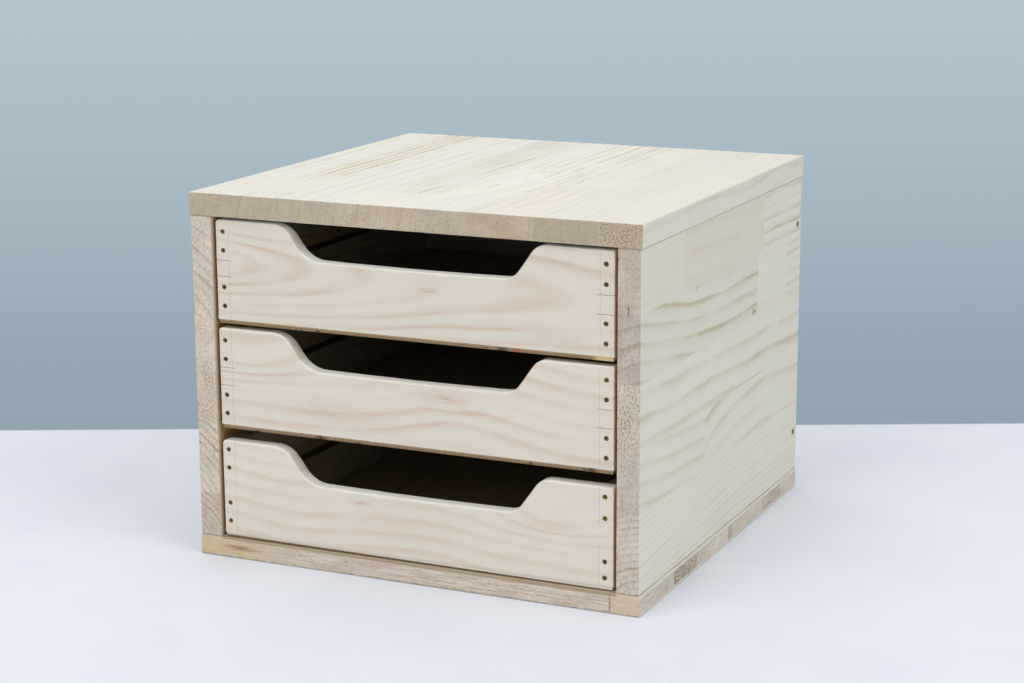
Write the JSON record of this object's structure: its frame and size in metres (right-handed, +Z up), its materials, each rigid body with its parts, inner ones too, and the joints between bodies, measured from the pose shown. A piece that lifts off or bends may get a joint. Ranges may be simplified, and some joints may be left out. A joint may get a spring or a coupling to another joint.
{
  "type": "paper tray",
  "caption": "Open-fronted wooden case for the desk, with stacked drawers for flat sheets of paper that slide on wooden side runners and have a scooped hand-hold.",
  "frame": {"origin": "middle of the footprint, on the surface that the tray stands on", "axes": "+X to the right as seen from the front, +Y to the back, +Z up; the drawers open towards -Y"},
  "size_m": [0.379, 0.376, 0.294],
  "materials": {
    "pine_panel": "sanded, bare, edge-glued from finger-jointed strips",
    "blockboard": "sanded, bare, pale face veneers over a strip core",
    "drawer_pine": "planed and sanded, bare, with growth rings",
    "plywood": "bare three-ply sheet",
    "runner_wood": "planed, bare",
    "dowel_wood": "fluted beech, glued in",
    "screw_metal": "yellow zinc, dulled",
    "nail_steel": "plain drawn steel"
  },
  "bodies": {
    "case": {"top_board": "pine_panel", "left_side_board": "pine_panel", "right_side_board": "pine_panel", "back_board": "pine_panel", "bottom_board": "blockboard", "top_dowels": "dowel_wood", "bottom_screws": "screw_metal", "back_screws": "screw_metal", "bottom_left_runner": "runner_wood", "bottom_right_runner": "runner_wood", "bottom_runner_screws": "screw_metal", "middle_left_runner": "runner_wood", "middle_right_runner": "runner_wood", "middle_runner_screws": "screw_metal", "top_left_runner": "runner_wood", "top_right_runner": "runner_wood", "top_runner_screws": "screw_metal"},
    "bottom_drawer": {"bottom_drawer_front": "drawer_pine", "bottom_drawer_left_lower_slat": "drawer_pine", "bottom_drawer_left_upper_slat": "drawer_pine", "bottom_drawer_right_lower_slat": "drawer_pine", "bottom_drawer_right_upper_slat": "drawer_pine", "bottom_drawer_back": "drawer_pine", "bottom_drawer_bottom": "plywood", "bottom_drawer_front_screws": "screw_metal", "bottom_drawer_back_screws": "screw_metal", "bottom_drawer_bottom_nails": "nail_steel"},
    "middle_drawer": {"middle_drawer_front": "drawer_pine", "middle_drawer_left_lower_slat": "drawer_pine", "middle_drawer_left_upper_slat": "drawer_pine", "middle_drawer_right_lower_slat": "drawer_pine", "middle_drawer_right_upper_slat": "drawer_pine", "middle_drawer_back": "drawer_pine", "middle_drawer_bottom": "plywood", "middle_drawer_front_screws": "screw_metal", "middle_drawer_back_screws": "screw_metal", "middle_drawer_bottom_nails": "nail_steel"},
    "top_drawer": {"top_drawer_front": "drawer_pine", "top_drawer_left_lower_slat": "drawer_pine", "top_drawer_left_upper_slat": "drawer_pine", "top_drawer_right_lower_slat": "drawer_pine", "top_drawer_right_upper_slat": "drawer_pine", "top_drawer_back": "drawer_pine", "top_drawer_bottom": "plywood", "top_drawer_front_screws": "screw_metal", "top_drawer_back_screws": "screw_metal", "top_drawer_bottom_nails": "nail_steel"}
  },
  "joints": [
    {"name": "bottom_drawer_slide", "type": "slide", "parent": "case", "child": "bottom_drawer", "axis": [0, -1, 0], "range_m": [0, 0.3]},
    {"name": "middle_drawer_slide", "type": "slide", "parent": "case", "child": "middle_drawer", "axis": [0, -1, 0], "range_m": [0, 0.3]},
    {"name": "top_drawer_slide", "type": "slide", "parent": "case", "child": "top_drawer", "axis": [0, -1, 0], "range_m": [0, 0.3]}
  ]
}
